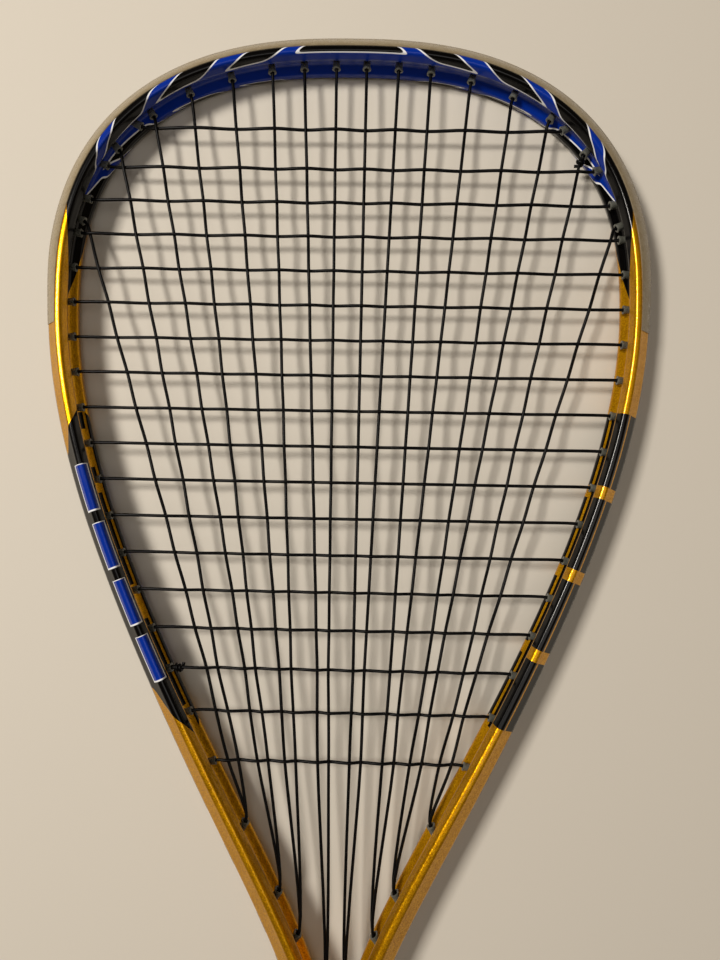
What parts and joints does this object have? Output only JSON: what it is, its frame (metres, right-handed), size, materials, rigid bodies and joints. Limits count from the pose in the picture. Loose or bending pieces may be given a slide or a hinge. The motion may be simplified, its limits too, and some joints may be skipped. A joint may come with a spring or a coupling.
{
  "type": "racquetball racket",
  "caption": "Teardrop racquetball racket with a moulded hoop, woven string bed, clear bumper and a wrapped eight-sided handle.",
  "frame": {"origin": "centre of the bounding box at its lowest face, with the racket lying flat", "axes": "+Y from the butt to the head tip, +Z the normal of the string bed, +X across the head"},
  "size_m": [0.244, 0.5588, 0.033],
  "materials": {
    "frame_lacquer": "metallic lacquer over a moulded graphite hoop",
    "bumper_plastic": "clear moulded nylon, lightly scuffed",
    "grommet_plastic": "clear moulded nylon",
    "string": "coated multifilament",
    "pallet_foam": "moulded rigid foam",
    "cap_plastic": "fine moulded grain",
    "grip": "tacky perforated strip",
    "finishing_tape": "vinyl tape",
    "collar_rubber": "smooth rubber"
  },
  "bodies": {
    "root": {"frame": "frame_lacquer", "head_bumper": "bumper_plastic", "left_grommet_strip": "grommet_plastic", "right_grommet_strip": "grommet_plastic", "crossover_tube": "grommet_plastic", "string": "string", "handle_pallet": "pallet_foam", "butt_cap": "cap_plastic", "grip_wrap": "grip", "grip_finishing_tape": "finishing_tape", "grip_collar": "collar_rubber", "throat_grommet_1": "grommet_plastic", "throat_grommet_2": "grommet_plastic", "throat_grommet_3": "grommet_plastic", "throat_grommet_4": "grommet_plastic", "throat_grommet_5": "grommet_plastic", "throat_grommet_6": "grommet_plastic", "throat_grommet_7": "grommet_plastic", "throat_grommet_8": "grommet_plastic"}
  },
  "joints": []
}
